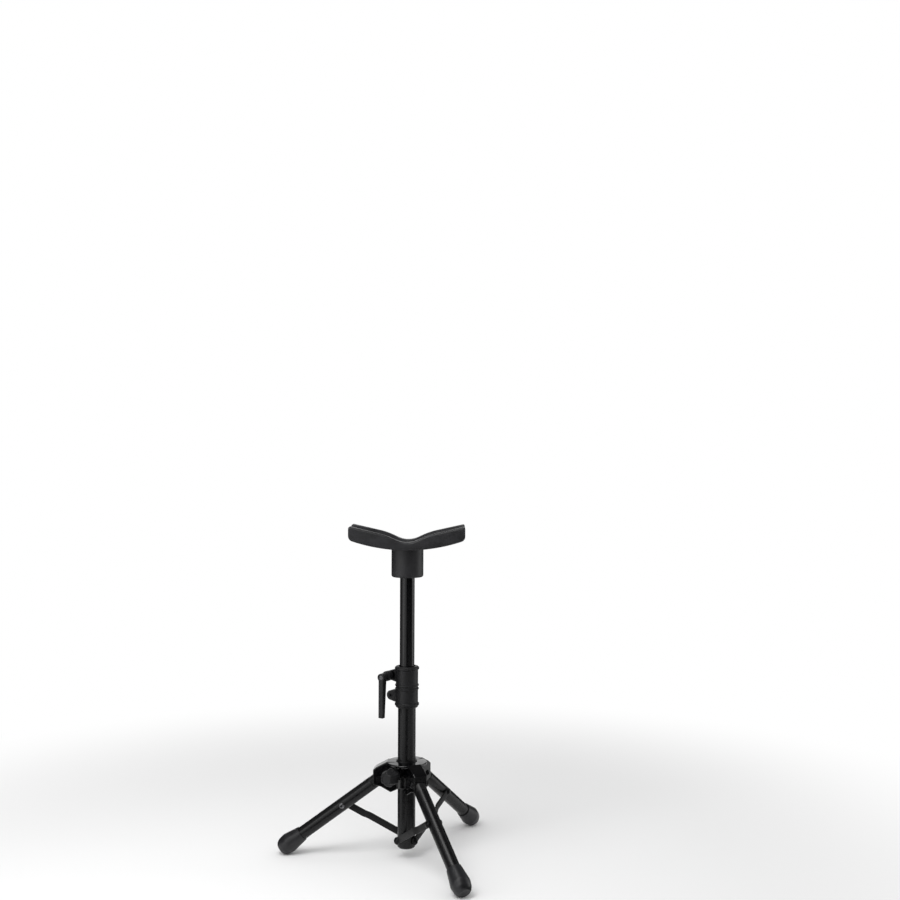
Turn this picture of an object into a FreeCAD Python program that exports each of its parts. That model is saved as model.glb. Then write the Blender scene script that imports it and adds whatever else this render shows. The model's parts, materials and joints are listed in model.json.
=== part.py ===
import FreeCAD, Part
import math
import os

# A folding tripod stand for a tuba. Sizes are in millimetres.
# The post's axis is the Z axis, the floor is z = 0, and -Y faces the viewer.
# Heights run up from the floor: foot, leg, hub, brace, tube, collar, rod, saddle.

# Fits
seat_gap = 0.05
running_gap = 0.06
side_gap = 0.2

# How far a cutting shape runs past what it cuts
cut_over = 1.0
# How far a bolt's end stands past its nut
bolt_past_nut = 1.0

# Legs
leg_d = 22.0
leg_wall = 1.5
leg_slope = 36.43
leg_azimuths = (176.7, 296.7, 56.7)
pivot_r = 45.0
tube_start = 18.0
foot_mouth = 164.8
tongue_width = 18.2
tongue_height = 21.0
plug_flange = 1.4
plug_shank = 24.0
pivot_bolt_d = 6.0
pivot_head_d = 10.5
pivot_head_h = 3.2
pivot_nut_w = 10.0
pivot_nut_h = 4.5

# Rubber feet
foot_sleeve_d = 25.2
foot_bulb_d = 33.2
foot_sleeve_length = 3.0
foot_bulb_start = 27.5
foot_flare = 0.3
foot_length = 45.2
foot_end_r = 10.0
foot_bore_depth = 30.0
sole_cut = 1.2

# Braces
rivet_at = 78.9
rivet_d = 6.0
rivet_head_d = 11.0
rivet_head_h = 2.6
rivet_ring_d = 10.0
rivet_ring_h = 1.2
brace_length = 122.8
brace_width = 11.3
brace_thick = 2.5
brace_gap = 0.4
joggle_start = 72.0
joggle_end = 86.0
pin_d = 6.0
pin_head_d = 13.0
pin_head_h = 4.5
pin_tip_r = 5.0
pin_height = 12.2

# Lower tube and its end plug
tube_d = 30.0
tube_wall = 1.5
tube_length = 266.7
end_flange = 3.0
end_plug_depth = 20.7

# Sliding hub
hub_top = 29.1
hub_bottom = 22.0
sleeve_bottom = 14.5
arm_reach = 10.8
arm_end_top = 17.0
arm_end_bottom = 10.5
arm_knee_r = 32.0
arm_web_r = 42.7
arm_web_bottom = 12.9
arm_root_r = 26.0
arm_root_rise = 5.0
arm_corner_r = 5.0
arm_wall = 2.5
arm_edge_round = 1.6
web_r = 34.0
web_drop = 1.2
web_h = 4.2
web_rim_round = 1.4
arm_top_wall = 3.2
arm_lip = 3.0
lip_gap = 0.8
sleeve_d = 40.0
bush_wall = 1.7
bush_flange_d = 35.4
bush_flange_h = 1.3
bush_ring_d = 33.0
bush_ring_h = 1.0

# Hub knob
knob_azimuth = 236.7
knob_drop = 18.5
knob_boss_d = 18.0
knob_boss_r = 29.5
knob_base_r = 30.5
knob_skirt_r = 41.0
knob_face_r = 60.0
knob_skirt_d = 18.0
knob_lobe_d = 30.5
knob_face_d = 24.0
knob_lobes = 6
knob_stud_d = 8.0
knob_stud_end_r = 54.0
knob_pad_d = 7.4
knob_pad_h = 1.8

# Clamp collar
collar_grip = 33.3
collar_neck = 36.0
collar_d = 37.5
collar_edge = 1.3
rim_d = 41.0
rim_h = 5.6
top_rim_inset = 0.5
bottom_rim_inset = 2.6
rib_soft = 0.25
band_d = 40.0
band_h = 9.6
band_groove = 2.4
band_drop = 34.7
split_w = 2.4
lug_azimuth = 150.0
lug_r = 27.3
lug_tip_r = 8.0
lug_root_h = 11.5
ear_thick = 7.0
upper_lug_drop = 16.7
lower_lug_drop = 50.9
liner_wall = 1.3
liner_recess = 1.6
liner_lift = 1.0
collar_screw_d = 5.0
collar_screw_head_d = 8.6
collar_screw_head_h = 4.0
collar_nut_w = 8.0
collar_nut_h = 4.0

# Clamp lever
clamp_stud_d = 6.0
clamp_nut_w = 10.0
clamp_nut_h = 5.0
washer_d = 16.0
washer_h = 1.0
insert_base_d = 14.6
insert_base_h = 4.1
spline_h = 3.4
spline_teeth = 16
spline_outer_r = 4.6
spline_inner_r = 4.0
spline_gap = 0.15
insert_neck_d = 7.8
insert_neck_h = 6.0
lever_hub_d = 13.4
lever_hub_length = 26.0
lever_skirt_d = 16.8
lever_skirt_h = 9.0
lever_skirt_slope = 3.0
lever_hub_edge = 0.8
lever_shoulder_h = 2.5
lever_travel = 4.0
lever_reach = 68.0
lever_width = 9.2
lever_top_thick = 12.0
lever_tip_thick = 7.2
lever_round = 1.3
lever_screw_d = 4.0
lever_screw_head_d = 7.4
lever_screw_head_h = 2.6
lever_screw_recess = 0.9
spring_wire_d = 0.8
spring_d = 7.2
spring_coils = 5

# Upper rod
rod_d = 25.0
rod_wall = 1.5
rod_shown = 150.4
rod_length = 331.0
rod_plug_h = 25.0
guide_h = 28.0
guide_floor = 3.5

# Saddle
socket_depth = 30.6
saddle_web = 24.5
neck_d = 54.0
neck_round = 2.0
saddle_length = 194.0
saddle_depth = 90.0
saddle_under = 7.2
saddle_under_r = 289.0
saddle_end_h = 32.3
saddle_end_round = 7.0
shoulder_x = 36.5
shoulder_h = 18.7
vee_x = 9.0
vee_h = 6.0
vee_round = 14.0
lip_round = 2.6
bow_r = 182.0
bow_tube_r = 48.0
saddle_bolt_d = 8.0
saddle_bolt_length = 40.0
saddle_head_d = 14.0
saddle_head_h = 4.4
saddle_washer_d = 17.0
saddle_washer_h = 1.6
head_cover = 3.0

# Places that follow from the driving sizes
slope = math.radians(leg_slope)
leg_cos = math.cos(slope)
leg_sin = math.sin(slope)
foot_corner_u = foot_mouth + foot_length - foot_end_r
foot_corner_w = foot_bulb_d / 2 - foot_end_r
arm_end_r = pivot_r + arm_reach
pivot_z = foot_corner_u * leg_sin + foot_corner_w * leg_cos + foot_end_r - sole_cut
rivet_r = pivot_r + rivet_at * leg_cos
rivet_z = pivot_z - rivet_at * leg_sin
pin_z = rivet_z - math.sqrt(brace_length**2 - rivet_r**2)
brace_slope = math.degrees(math.asin((rivet_z - pin_z) / brace_length))
leg_end = foot_mouth + foot_bore_depth
post_bottom = pin_z - pin_height
tube_bottom = post_bottom + end_flange
tube_top = tube_bottom + tube_length
tube_r = tube_d / 2
tube_bore_r = tube_r - tube_wall
hub_top_z = pivot_z + hub_top
hub_bottom_z = pivot_z - hub_bottom
sleeve_bottom_z = pivot_z - sleeve_bottom
knob_z = hub_top_z - knob_drop
collar_bottom = tube_top - collar_grip
collar_top = tube_top + collar_neck
upper_lug_z = collar_top - upper_lug_drop
lower_lug_z = collar_top - lower_lug_drop
ear_out = split_w / 2 + ear_thick
neck_bottom = collar_top + rod_shown
rod_top = neck_bottom + socket_depth
rod_bottom = rod_top - rod_length
rod_r = rod_d / 2
rod_bore_r = rod_r - rod_wall
trough_z = rod_top + saddle_web
bush_r = tube_r + running_gap + bush_wall
arm_half = tongue_width / 2 + side_gap + arm_wall
arm_inner = tongue_width / 2 + side_gap

UP = FreeCAD.Vector(0, 0, 1)
ALONG_X = FreeCAD.Vector(1, 0, 0)
ALONG_Y = FreeCAD.Vector(0, 1, 0)
ORIGIN = FreeCAD.Vector(0, 0, 0)


# Helpers


def point(x, y, z):
    return FreeCAD.Vector(x, y, z)


def disc(r, z0, z1):
    """A cylinder on the Z axis from z0 to z1."""
    return Part.makeCylinder(r, z1 - z0, point(0, 0, z0), UP)


def disc_x(r, x0, x1, z=0.0):
    """A cylinder along X at height z."""
    return Part.makeCylinder(r, x1 - x0, point(x0, 0, z), ALONG_X)


def disc_y(r, y0, y1, x=0.0, z=0.0):
    """A cylinder along Y at x and z."""
    return Part.makeCylinder(r, y1 - y0, point(x, y0, z), ALONG_Y)


def turned(profile):
    """A solid of revolution about Z from (radius, height) points."""
    wire = Part.makePolygon([point(r, 0, z) for r, z in profile + profile[:1]])
    return Part.Face(wire).revolve(ORIGIN, UP, 360)


def plate(outline, y0, y1):
    """A flat plate from (x, z) points, from y0 to y1."""
    wire = Part.makePolygon([point(x, y0, z) for x, z in outline + outline[:1]])
    return Part.Face(wire).extrude(point(0, y1 - y0, 0))


def hexagon(width, y0, y1, x=0.0, z=0.0):
    """A hexagonal prism along Y, width across its flats."""
    r = width / math.sqrt(3)
    turns = [math.radians(60 * k) for k in range(6)]
    corners = [(x + r * math.cos(a), z + r * math.sin(a)) for a in turns]
    return plate(corners, y0, y1)


def dome(base_d, height, y0, direction, x=0.0, z=0.0):
    """A domed head along Y: its flat face is at y0 and it rises along direction."""
    r = base_d / 2
    ball_r = (r * r + height * height) / (2 * height)
    centre = point(x, y0 + direction * (height - ball_r), z)
    low, high = sorted((y0, y0 + direction * height))
    return disc_y(r, low, high, x, z).common(Part.makeSphere(ball_r, centre))


def turn_to(shape, azimuth):
    """Turns a shape that was built along +X to an azimuth about the post."""
    return shape.rotated(ORIGIN, UP, azimuth)


def on_leg(shape):
    """Places a shape, built along +X from the pivot, on the leg's slope in the X plane."""
    tilted = shape.rotated(ORIGIN, ALONG_Y, leg_slope)
    return tilted.translated(point(pivot_r, 0, pivot_z))


def lengthwise(shape):
    """Lays a shape that was turned about Z along +X."""
    return shape.rotated(ORIGIN, ALONG_Y, 90)


def edges_where(shape, test):
    return [e for e in shape.Edges if test(e)]


def runs_along_y(edge):
    a, b = edge.Vertexes[0].Point, edge.Vertexes[-1].Point
    return abs(a.y - b.y) > 1.0 and abs(a.x - b.x) < 0.01 and abs(a.z - b.z) < 0.01


def save(name, shape):
    shape.exportStep(f"parts/{name}.step")


# Lower tube


def lower_tube():
    bore = disc(tube_bore_r, tube_bottom - cut_over, tube_top + cut_over)
    body = disc(tube_r, tube_bottom, tube_top).cut(bore)
    for azimuth in leg_azimuths:
        hole = disc_x(pin_d / 2 + seat_gap, 0, tube_d, pin_z)
        body = body.cut(turn_to(hole, azimuth - 90))
    return body


def tube_end_plug():
    shank = disc(tube_bore_r - seat_gap, tube_bottom, tube_bottom + end_plug_depth)
    edge = end_flange / 2
    flange = turned([
        (0, post_bottom), (tube_r - edge, post_bottom), (tube_r, post_bottom + edge),
        (tube_r, tube_bottom), (0, tube_bottom),
    ])
    body = shank.fuse(flange).removeSplitter()
    for azimuth in leg_azimuths:
        hole = disc_x(pin_d / 2 + seat_gap, pin_tip_r - cut_over, tube_d, pin_z)
        body = body.cut(turn_to(hole, azimuth - 90))
    return body


def brace_inner_y():
    """How far the brace's inner face stands from the leg's plane at the tube."""
    return tube_r + brace_gap


def leg_inner_y():
    """How far the brace's inner face stands from the leg's plane at the leg."""
    return leg_d / 2 + brace_gap


def brace_pin():
    """One shouldered pin, built on the -Y side of a leg that points along +X."""
    head_y = brace_inner_y() + brace_thick + seat_gap
    shank = disc_y(pin_d / 2, -head_y, -pin_tip_r, 0, pin_z)
    head = dome(pin_head_d, pin_head_h, -head_y, -1, 0, pin_z)
    socket = hexagon(pin_d * 0.7, -head_y - pin_head_h - cut_over, -head_y - pin_head_h * 0.4, 0, pin_z)
    return shank.fuse(head).cut(socket)


# Braces


def brace():
    """A flat bar with a joggle, along +X from the pin, turned up to the brace's slope."""
    tube_side = -brace_inner_y()
    leg_side = -leg_inner_y()
    path = [
        (-brace_width, tube_side), (joggle_start, tube_side), (joggle_end, leg_side),
        (brace_length + brace_width, leg_side),
    ]
    outer = [(x, y - brace_thick) for x, y in reversed(path)]
    wire = Part.makePolygon([point(x, y, -brace_width) for x, y in path + outer + path[:1]])
    bar = Part.Face(wire).extrude(point(0, 0, 2 * brace_width))
    half = brace_width / 2
    reach = brace_inner_y() + brace_thick + cut_over
    shape = disc_y(half, -reach, 0).fuse(disc_y(half, -reach, 0, brace_length))
    shape = shape.fuse(plate([(0, -half), (brace_length, -half), (brace_length, half), (0, half)], -reach, 0))
    bar = bar.common(shape)
    bar = bar.cut(disc_y(pin_d / 2 + running_gap, -reach, 0))
    return bar.removeSplitter().rotated(ORIGIN, ALONG_Y, -brace_slope).translated(point(0, 0, pin_z))


def rivet_head():
    """The domed rivet head over the brace's upper end."""
    outer_y = leg_inner_y() + brace_thick + seat_gap
    return dome(rivet_head_d, rivet_head_h, -outer_y, -1, rivet_r, rivet_z)


# Legs


def leg_tube():
    bore = disc_x(leg_d / 2 - leg_wall, tube_start - cut_over, leg_end + cut_over)
    body = disc_x(leg_d / 2, tube_start, leg_end).cut(bore)
    body = body.cut(disc_y(rivet_d / 2 + seat_gap, -leg_d, leg_d, rivet_at))
    return on_leg(body)


def leg_plug():
    """The moulded plug in the leg's top, whose tongue turns between the hub's walls."""
    half_w, half_h = tongue_width / 2, tongue_height / 2
    tongue = disc_y(half_h, -half_w, half_w)
    side = [(0, -half_h), (tube_start, -half_h), (tube_start, half_h), (0, half_h)]
    tongue = tongue.fuse(plate(side, -half_w, half_w))
    round_bar = disc_x(leg_d / 2, -leg_d, tube_start)
    tongue = tongue.common(round_bar.fuse(disc_y(half_h, -half_w, half_w)))
    flange = disc_x(leg_d / 2, tube_start - plug_flange, tube_start - seat_gap)
    shank = disc_x(leg_d / 2 - leg_wall - seat_gap, tube_start - plug_flange, tube_start + plug_shank)
    body = tongue.fuse([flange, shank]).removeSplitter()
    body = body.cut(disc_y(pivot_bolt_d / 2 + running_gap, -leg_d, leg_d))
    return on_leg(body)


def leg_rivet():
    """The rivet through the leg: a ring on the far side, and a shank that stops at the brace."""
    side = leg_d / 2 + seat_gap
    shank = disc_y(rivet_d / 2, -side, side + rivet_ring_h, rivet_at)
    ring = disc_y(rivet_ring_d / 2, side, side + rivet_ring_h, rivet_at)
    dimple = disc_y(rivet_d / 4, side, side + 2 * rivet_ring_h, rivet_at)
    return on_leg(shank.fuse(ring).cut(dimple))


def foot():
    """A rubber boot with a round end, cut flat where it stands on the floor."""
    sleeve_r, bulb_r = foot_sleeve_d / 2, foot_bulb_d / 2
    corner = foot_length - foot_end_r
    a = math.radians(45)
    arc = Part.Arc(
        point(bulb_r, 0, corner),
        point(bulb_r - foot_end_r + foot_end_r * math.cos(a), 0, corner + foot_end_r * math.sin(a)),
        point(bulb_r - foot_end_r, 0, foot_length),
    )
    corners = [(bulb_r - foot_end_r, foot_length), (0, foot_length), (0, 0), (sleeve_r, 0)]
    corners += [(sleeve_r + foot_flare, foot_sleeve_length), (bulb_r, foot_bulb_start), (bulb_r, corner)]
    ends = [point(r, 0, z) for r, z in corners]
    lines = [Part.LineSegment(p, q).toShape() for p, q in zip(ends, ends[1:])]
    profile = Part.Wire([arc.toShape()] + lines)
    body = Part.Face(profile).revolve(ORIGIN, UP, 360)
    body = body.cut(disc(leg_d / 2 + seat_gap, -1, foot_bore_depth + seat_gap))
    body = on_leg(lengthwise(body).translated(point(foot_mouth, 0, 0)))
    under = Part.makeBox(4 * foot_length, 4 * foot_length, foot_length)
    place = point(pivot_r + foot_mouth * leg_cos - 2 * foot_length, -2 * foot_length, -foot_length)
    return body.cut(under.translated(place))


# Hub


def arm_outline():
    """The side view of an arm, from the post's axis out, in (r, z)."""
    return [
        (0, hub_top_z), (arm_knee_r, hub_top_z),
        (arm_end_r - arm_corner_r, pivot_z + arm_end_top + arm_corner_r * 0.45),
        (arm_end_r, pivot_z + arm_end_top - arm_corner_r * 0.4), (arm_end_r, pivot_z - arm_end_bottom),
        (arm_web_r, pivot_z - arm_web_bottom), (arm_root_r, hub_bottom_z),
        (tube_r, hub_bottom_z + arm_root_rise), (0, hub_bottom_z + arm_root_rise),
    ]


def arm_hollow():
    """The channel inside an arm: open below and at the end, under a short lip."""
    top = hub_top_z - arm_top_wall
    end_top = pivot_z + arm_end_top + arm_corner_r * 0.45 - arm_top_wall
    inner_r = arm_end_r - arm_lip
    outside_r = arm_end_r + cut_over
    inside_r = sleeve_d / 2 - 1
    below = hub_bottom_z - cut_over
    return [
        (inside_r, top), (arm_knee_r - 1, top), (inner_r - arm_corner_r * 0.6, end_top),
        (inner_r, end_top - arm_corner_r * 0.6), (inner_r, lip_under(inner_r)),
        (outside_r, lip_under(outside_r)),
        (outside_r, below), (inside_r, below),
    ]


def lip_under(r):
    """The underside of an arm's end lip at radius r, which slopes as the leg's tongue does."""
    return pivot_z + (tongue_height / 2 + lip_gap - (r - pivot_r) * leg_sin) / leg_cos


def arm_block():
    """One solid arm along +X, with its outer edges rounded."""
    block = plate(arm_outline(), -arm_half, arm_half)
    rims = edges_where(block, lambda e: not runs_along_y(e) and max(v.X for v in e.Vertexes) > 1)
    return block.makeFillet(arm_edge_round, rims)


def hub_web():
    """The round plate that joins the arms at their tops."""
    plate_low = hub_top_z - web_drop - web_h
    web = turned([
        (0, hub_top_z), (bush_flange_d / 2, hub_top_z), (web_r, hub_top_z - web_drop),
        (web_r, plate_low), (0, plate_low),
    ])
    past_flange = bush_flange_d / 2 + cut_over
    rims = edges_where(web, lambda e: len(e.Vertexes) == 1 and e.Vertexes[0].X > past_flange)
    return web.makeFillet(web_rim_round, rims)


def hub():
    sleeve = disc(sleeve_d / 2, sleeve_bottom_z, hub_top_z)
    sleeve = sleeve.makeFillet(arm_edge_round, edges_where(sleeve, lambda e: len(e.Vertexes) == 1))
    body = sleeve.fuse([hub_web()] + [turn_to(arm_block(), azimuth) for azimuth in leg_azimuths])
    for azimuth in leg_azimuths:
        body = body.cut(turn_to(plate(arm_hollow(), -arm_inner, arm_inner), azimuth))
    boss = disc_x(knob_boss_d / 2, tube_r, knob_boss_r, knob_z)
    body = body.fuse([sleeve, turn_to(boss, knob_azimuth)])
    body = body.cut(disc(bush_r + seat_gap, hub_bottom_z - cut_over, hub_top_z + cut_over))
    knob_hole = disc_x(knob_stud_d / 2 + running_gap, 0, knob_boss_r + cut_over, knob_z)
    body = body.cut(turn_to(knob_hole, knob_azimuth))
    for azimuth in leg_azimuths:
        out = arm_half + cut_over
        hole = disc_y(pivot_bolt_d / 2 + seat_gap, -out, out, pivot_r, pivot_z)
        body = body.cut(turn_to(hole, azimuth))
    return body.removeSplitter()


def hub_bush():
    flange_z = hub_top_z + seat_gap
    ring_z = flange_z + bush_flange_h
    body = disc(bush_r, sleeve_bottom_z, flange_z).fuse([
        disc(bush_flange_d / 2, flange_z, ring_z),
        disc(bush_ring_d / 2, ring_z, ring_z + bush_ring_h),
    ])
    body = body.cut(disc(tube_r + running_gap, sleeve_bottom_z - cut_over, ring_z + bush_ring_h + cut_over))
    body = body.cut(turn_to(disc_x(knob_pad_d / 2 + seat_gap, 0, tube_d, knob_z), knob_azimuth))
    return body.removeSplitter()


def pivot_bolt():
    head_y = arm_half + seat_gap
    tip_y = head_y + pivot_nut_h + bolt_past_nut
    shank = disc_y(pivot_bolt_d / 2, -head_y, tip_y, pivot_r, pivot_z)
    head = dome(pivot_head_d, pivot_head_h, -head_y, -1, pivot_r, pivot_z)
    socket_y = -head_y - pivot_head_h * 0.4
    socket = hexagon(pivot_bolt_d * 0.6, -head_y - pivot_head_h - cut_over, socket_y, pivot_r, pivot_z)
    return shank.fuse(head).cut(socket)


def pivot_nut():
    y0 = arm_half + seat_gap
    nut = hexagon(pivot_nut_w, y0, y0 + pivot_nut_h, pivot_r, pivot_z)
    y1 = y0 + pivot_nut_h + cut_over
    return nut.cut(disc_y(pivot_bolt_d / 2 + seat_gap, y0 - cut_over, y1, pivot_r, pivot_z))


def knob_pad():
    """The pad that the knob's stud presses on the tube, shown a running gap off it."""
    inner = tube_r + running_gap
    pad = disc_x(knob_pad_d / 2, inner - 1, inner + knob_pad_h, knob_z)
    return pad.cut(disc(inner, hub_bottom_z, hub_top_z))


def hub_knob():
    """A lobed knob on a round skirt, along +X."""
    length = knob_face_r - knob_skirt_r
    lobe_r = knob_face_d * 0.2
    core = disc(knob_face_d / 2 - 0.4, 0, length)
    for k in range(knob_lobes):
        a = 2 * math.pi * k / knob_lobes
        at = knob_lobe_d / 2 - lobe_r
        core = core.fuse(Part.makeCylinder(lobe_r, length, point(at * math.cos(a), at * math.sin(a), 0), UP))
    edge = 2.0
    taper = turned([
        (0, 0), (knob_lobe_d / 2 - edge, 0), (knob_lobe_d / 2, edge), (knob_lobe_d / 2, length * 0.3),
        (knob_face_d / 2, length - 1.2), (knob_face_d / 2 - 1.2, length), (0, length),
    ])
    body = core.common(taper)
    skirt = disc(knob_skirt_d / 2, knob_base_r - knob_skirt_r, 0)
    body = body.fuse(skirt).removeSplitter()
    body = lengthwise(body).translated(point(knob_skirt_r, 0, knob_z))
    return body.cut(disc_x(knob_stud_d / 2 + seat_gap, 0, knob_stud_end_r + seat_gap, knob_z))


def knob_stud():
    tip = tube_r + running_gap + knob_pad_h + side_gap
    return disc_x(knob_stud_d / 2, tip, knob_stud_end_r, knob_z)


# Clamp collar, built with its lugs along +X and its bolts along +Y


def rib(low, height, across):
    """A rounded rib round the collar, from its low edge up."""
    r0, r1 = collar_d / 2, across / 2
    high = low + height
    soft = height * rib_soft
    return turned([(0, low), (r0, low), (r1, low + soft), (r1, high - soft), (r0, high), (0, high)])


def lug(z):
    """Both ears of a lug pair at height z, before the collar is split."""
    root_x = collar_d / 2 * 0.7
    tip = disc_y(lug_tip_r, -ear_out, ear_out, lug_r, z)
    a = math.asin((lug_root_h - lug_tip_r) / (lug_r - root_x)) if lug_root_h > lug_tip_r else 0.0
    touch_x = lug_r + lug_tip_r * math.sin(a)
    touch_z = lug_tip_r * math.cos(a)
    web = plate([
        (root_x, z - lug_root_h), (touch_x, z - touch_z), (touch_x, z + touch_z), (root_x, z + lug_root_h),
    ], -ear_out, ear_out)
    return tip.fuse(web)


def clamp_collar():
    r0 = collar_d / 2
    body = turned([
        (0, collar_bottom), (r0 - collar_edge, collar_bottom), (r0, collar_bottom + collar_edge),
        (r0, collar_top - collar_edge), (r0 - collar_edge, collar_top), (0, collar_top),
    ])
    band_low = collar_top - band_drop - band_h / 2
    band_rib_h = (band_h - band_groove) / 2
    body = body.fuse([
        rib(collar_bottom + bottom_rim_inset, rim_h, rim_d),
        rib(collar_top - top_rim_inset - rim_h, rim_h, rim_d),
        rib(band_low, band_rib_h, band_d), rib(band_low + band_rib_h + band_groove, band_rib_h, band_d),
        lug(upper_lug_z), lug(lower_lug_z),
    ])
    body = body.cut(disc(tube_r + seat_gap, collar_bottom - cut_over, tube_top + seat_gap))
    liner_hole_r = rod_r + running_gap + liner_wall + seat_gap
    body = body.cut(disc(liner_hole_r, tube_top - cut_over, collar_top + cut_over))
    slot = Part.makeBox(collar_d, split_w, collar_top - collar_bottom + 2 * cut_over)
    body = body.cut(slot.translated(point(0, -split_w / 2, collar_bottom - cut_over)))
    stud_hole_r = clamp_stud_d / 2 + running_gap
    body = body.cut(disc_y(stud_hole_r, -ear_out - cut_over, ear_out + cut_over, lug_r, upper_lug_z))
    pocket_w = clamp_nut_w + 2 * seat_gap
    body = body.cut(hexagon(pocket_w, -ear_out - cut_over, clamp_nut_y(), lug_r, upper_lug_z))
    screw_hole_r = collar_screw_d / 2 + seat_gap
    body = body.cut(disc_y(screw_hole_r, -ear_out - cut_over, ear_out + cut_over, lug_r, lower_lug_z))
    head_r = collar_screw_head_d / 2 + seat_gap
    body = body.cut(disc_y(head_r, ear_out - collar_screw_head_h, ear_out + cut_over, lug_r, lower_lug_z))
    pocket_w = collar_nut_w + 2 * seat_gap
    body = body.cut(hexagon(pocket_w, -ear_out - cut_over, collar_nut_y(), lug_r, lower_lug_z))
    return body.removeSplitter()


def clamp_nut_y():
    """The inner end of the lever's nut pocket."""
    return -ear_out + clamp_nut_h


def collar_nut_y():
    """The inner end of the collar screw's nut pocket."""
    return -ear_out + collar_nut_h


def clamp_liner():
    outer = rod_r + running_gap + liner_wall
    z0, z1 = tube_top + liner_lift, collar_top - liner_recess
    body = disc(outer, z0, z1).cut(disc(rod_r + running_gap, z0 - cut_over, z1 + cut_over))
    slot = Part.makeBox(collar_d, split_w, z1 - z0 + 2 * cut_over)
    return body.cut(slot.translated(point(0, -split_w / 2, z0 - cut_over)))


def collar_screw():
    head_y = ear_out - collar_screw_head_h + seat_gap
    shank = disc_y(collar_screw_d / 2, -ear_out, head_y, lug_r, lower_lug_z)
    head = disc_y(collar_screw_head_d / 2, head_y, ear_out, lug_r, lower_lug_z)
    socket_y = ear_out - collar_screw_head_h * 0.6
    socket = hexagon(collar_screw_d * 0.8, socket_y, ear_out + cut_over, lug_r, lower_lug_z)
    return shank.fuse(head).cut(socket)


def nut(width, y0, y1, z, hole_r):
    return hexagon(width, y0, y1, lug_r, z).cut(disc_y(hole_r, y0 - cut_over, y1 + cut_over, lug_r, z))


# Clamp lever, with its axis along +Y at the upper lug

washer_y = ear_out + side_gap
insert_y = washer_y + washer_h + seat_gap
spline_y = insert_y + insert_base_h
neck_y = spline_y + spline_h
insert_end_y = neck_y + insert_neck_h
lever_y = spline_y + seat_gap
face_y = lever_y + lever_hub_length
shoulder_y = insert_end_y + seat_gap
pocket_y = shoulder_y + lever_shoulder_h
screw_head_y = face_y - lever_screw_recess - lever_screw_head_h
stud_end_y = neck_y
screw_tip_y = stud_end_y + seat_gap


def star(y0, y1, outer_r, inner_r):
    """A toothed prism along Y."""
    corners = []
    for k in range(2 * spline_teeth):
        a = math.pi * k / spline_teeth
        r = outer_r if k % 2 == 0 else inner_r
        corners.append((lug_r + r * math.cos(a), upper_lug_z + r * math.sin(a)))
    return plate(corners, y0, y1)


def lever_disc(r, y0, y1):
    return disc_y(r, y0, y1, lug_r, upper_lug_z)


def lever_washer():
    washer = lever_disc(washer_d / 2, washer_y, washer_y + washer_h)
    return washer.cut(lever_disc(clamp_stud_d / 2 + seat_gap, washer_y - cut_over, insert_y))


def clamp_stud():
    return lever_disc(clamp_stud_d / 2, -ear_out - bolt_past_nut, stud_end_y - seat_gap)


def lever_insert():
    body = lever_disc(insert_base_d / 2, insert_y, spline_y)
    spline = star(spline_y, neck_y, spline_outer_r, spline_inner_r)
    body = body.fuse([spline, lever_disc(insert_neck_d / 2, neck_y, insert_end_y)])
    body = body.cut(lever_disc(clamp_stud_d / 2 + seat_gap, insert_y - cut_over, stud_end_y))
    return body.cut(lever_disc(lever_screw_d / 2 + seat_gap, stud_end_y, insert_end_y + cut_over))


def lever_boss():
    """The lever's hub: a wide skirt by the lug, then a neck out to the screw's face."""
    hub_r, skirt_r = lever_hub_d / 2, lever_skirt_d / 2
    slope_end = lever_skirt_h + lever_skirt_slope
    boss = turned([
        (0, 0), (skirt_r - lever_hub_edge, 0), (skirt_r, lever_hub_edge), (skirt_r, lever_skirt_h),
        (hub_r, slope_end), (hub_r, lever_hub_length - lever_hub_edge),
        (hub_r - lever_hub_edge, lever_hub_length), (0, lever_hub_length),
    ])
    # it was turned about Z, so it is tipped onto the lever's axis
    return boss.rotated(ORIGIN, ALONG_X, -90).translated(point(lug_r, lever_y, upper_lug_z))


def lever_handle():
    z0 = upper_lug_z
    tip_z = z0 - lever_reach
    half = lever_width / 2
    arm = plate([
        (face_y - lever_top_thick, z0), (face_y, z0), (face_y, tip_z), (face_y - lever_tip_thick, tip_z),
    ], -half, half)
    arm = arm.makeFillet(lever_round, edges_where(arm, lambda e: min(v.Z for v in e.Vertexes) < z0 - 1))
    # the arm's outline was drawn with Y across, so it turns a quarter about Z to lie along the lever's axis
    arm = arm.rotated(ORIGIN, UP, 90).translated(point(lug_r, 0, 0))
    body = lever_boss().fuse(arm)
    outer, inner = spline_outer_r + spline_gap, spline_inner_r + spline_gap
    body = body.cut(star(lever_y - cut_over, neck_y + seat_gap, outer, inner))
    body = body.cut(lever_disc(outer + seat_gap, neck_y, shoulder_y))
    body = body.cut(lever_disc(lever_screw_d / 2 + side_gap, shoulder_y - cut_over, pocket_y + cut_over))
    body = body.cut(lever_disc(lever_screw_head_d / 2 + side_gap, pocket_y, face_y + cut_over))
    return body.removeSplitter()


def lever_screw():
    body = lever_disc(lever_screw_d / 2, screw_tip_y, screw_head_y)
    body = body.fuse(lever_disc(lever_screw_head_d / 2, screw_head_y, screw_head_y + lever_screw_head_h))
    y1 = screw_head_y + lever_screw_head_h
    slot = Part.makeBox(lever_screw_head_d + 1, 1.2, 1.0)
    slot = slot.translated(point(lug_r - lever_screw_head_d / 2 - 0.5, y1 - 1.1, upper_lug_z - 0.5))
    return body.cut(slot)


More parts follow.
